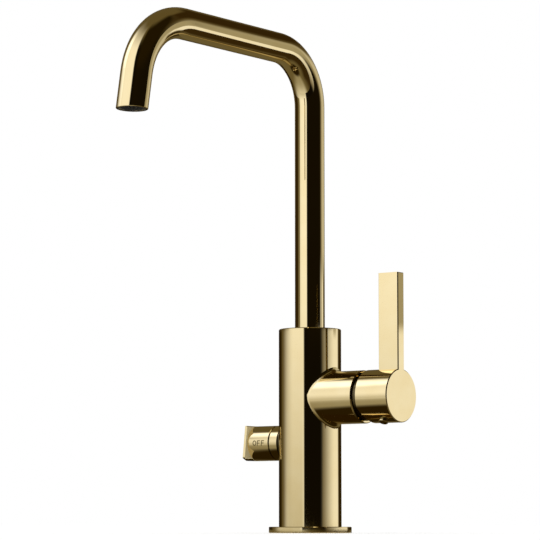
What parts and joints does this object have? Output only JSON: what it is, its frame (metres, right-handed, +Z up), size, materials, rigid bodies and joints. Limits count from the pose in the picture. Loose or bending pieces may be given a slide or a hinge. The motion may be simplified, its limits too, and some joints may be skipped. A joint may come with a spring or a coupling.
{
  "type": "kitchen mixer tap",
  "caption": "Tall kitchen mixer tap in polished brass with a swivelling angular spout, a side lever over a ceramic cartridge and a side shut-off knob for a dishwasher.",
  "frame": {"origin": "centre of the base's underside, on the axis of the column", "axes": "+Z up along the column, +X along the lever's axis away from the column, -Y along the spout towards the user at rest"},
  "size_m": [0.1432, 0.2666, 0.3975],
  "materials": {
    "polished_brass": "mirror-polished honey gold brass",
    "plain_brass": "turned, unpolished",
    "steel": "plain stainless steel",
    "rubber": "matte black",
    "ceramic": "lapped white ceramic",
    "cartridge_plastic": "moulded off-white",
    "glide_plastic": "moulded off-white",
    "aerator_plastic": "moulded dark grey"
  },
  "bodies": {
    "column": {"base_flange": "polished_brass", "base_seal": "rubber", "body_shell": "polished_brass", "lower_manifold": "plain_brass", "manifold_seal": "rubber", "cold_tube": "steel", "hot_tube": "steel", "shutoff_feed_tube": "steel", "shutoff_return_tube": "steel", "cartridge_housing": "cartridge_plastic", "cartridge_seals": "rubber", "cartridge_fixed_disc": "ceramic", "cartridge_nut": "plain_brass", "cover_dome": "polished_brass", "lower_glide_ring": "glide_plastic", "upper_glide_ring": "glide_plastic", "spout_screw": "steel", "shutoff_collar": "polished_brass", "shutoff_headwork": "plain_brass", "shutoff_seat_seal": "rubber", "shutoff_fixed_disc": "ceramic"},
    "spout": {"spout_tube": "polished_brass", "spout_spigot": "plain_brass", "spigot_seals": "rubber", "outlet_ring": "polished_brass", "aerator_shell": "aerator_plastic", "aerator_grid": "aerator_plastic", "aerator_insert": "aerator_plastic", "aerator_seal": "rubber"},
    "rotor": {"mix_carrier": "cartridge_plastic", "stem_pin": "steel"},
    "disc": {"cartridge_moving_disc": "ceramic", "disc_driver": "cartridge_plastic"},
    "lever_body": {"lever": "polished_brass", "lever_stem": "steel", "lever_screw": "steel", "index_button": "polished_brass"},
    "shutoff": {"shutoff_turning_disc": "ceramic", "shutoff_spindle": "plain_brass", "spindle_seal": "rubber", "shutoff_knob": "polished_brass", "knob_screw": "steel"}
  },
  "joints": [
    {"name": "spout_swivel", "type": "hinge", "parent": "column", "child": "spout", "pos_m": [0, 0, 0.15], "axis": [0, 0, 1], "range_deg": [-60, 60]},
    {"name": "lever_mix", "type": "hinge", "parent": "column", "child": "rotor", "pos_m": [0.05, 0, 0.1068], "axis": [1, 0, 0], "range_deg": [-45, 45]},
    {"name": "lever_lift", "type": "hinge", "parent": "rotor", "child": "lever_body", "pos_m": [0.05, 0, 0.1068], "axis": [0, 1, 0], "range_deg": [0, 22]},
    {"name": "disc_slide", "type": "slide", "parent": "rotor", "child": "disc", "axis": [0, 0, 1], "range_m": [0, 0.00316]},
    {"name": "shutoff_turn", "type": "hinge", "parent": "column", "child": "shutoff", "pos_m": [-0.04, 0, 0.072], "axis": [-1, 0, 0], "range_deg": [0, 90]}
  ],
  "couplings": [
    {"joint": "disc_slide", "follows": "lever_lift", "m_per_rad": 0.008195}
  ]
}
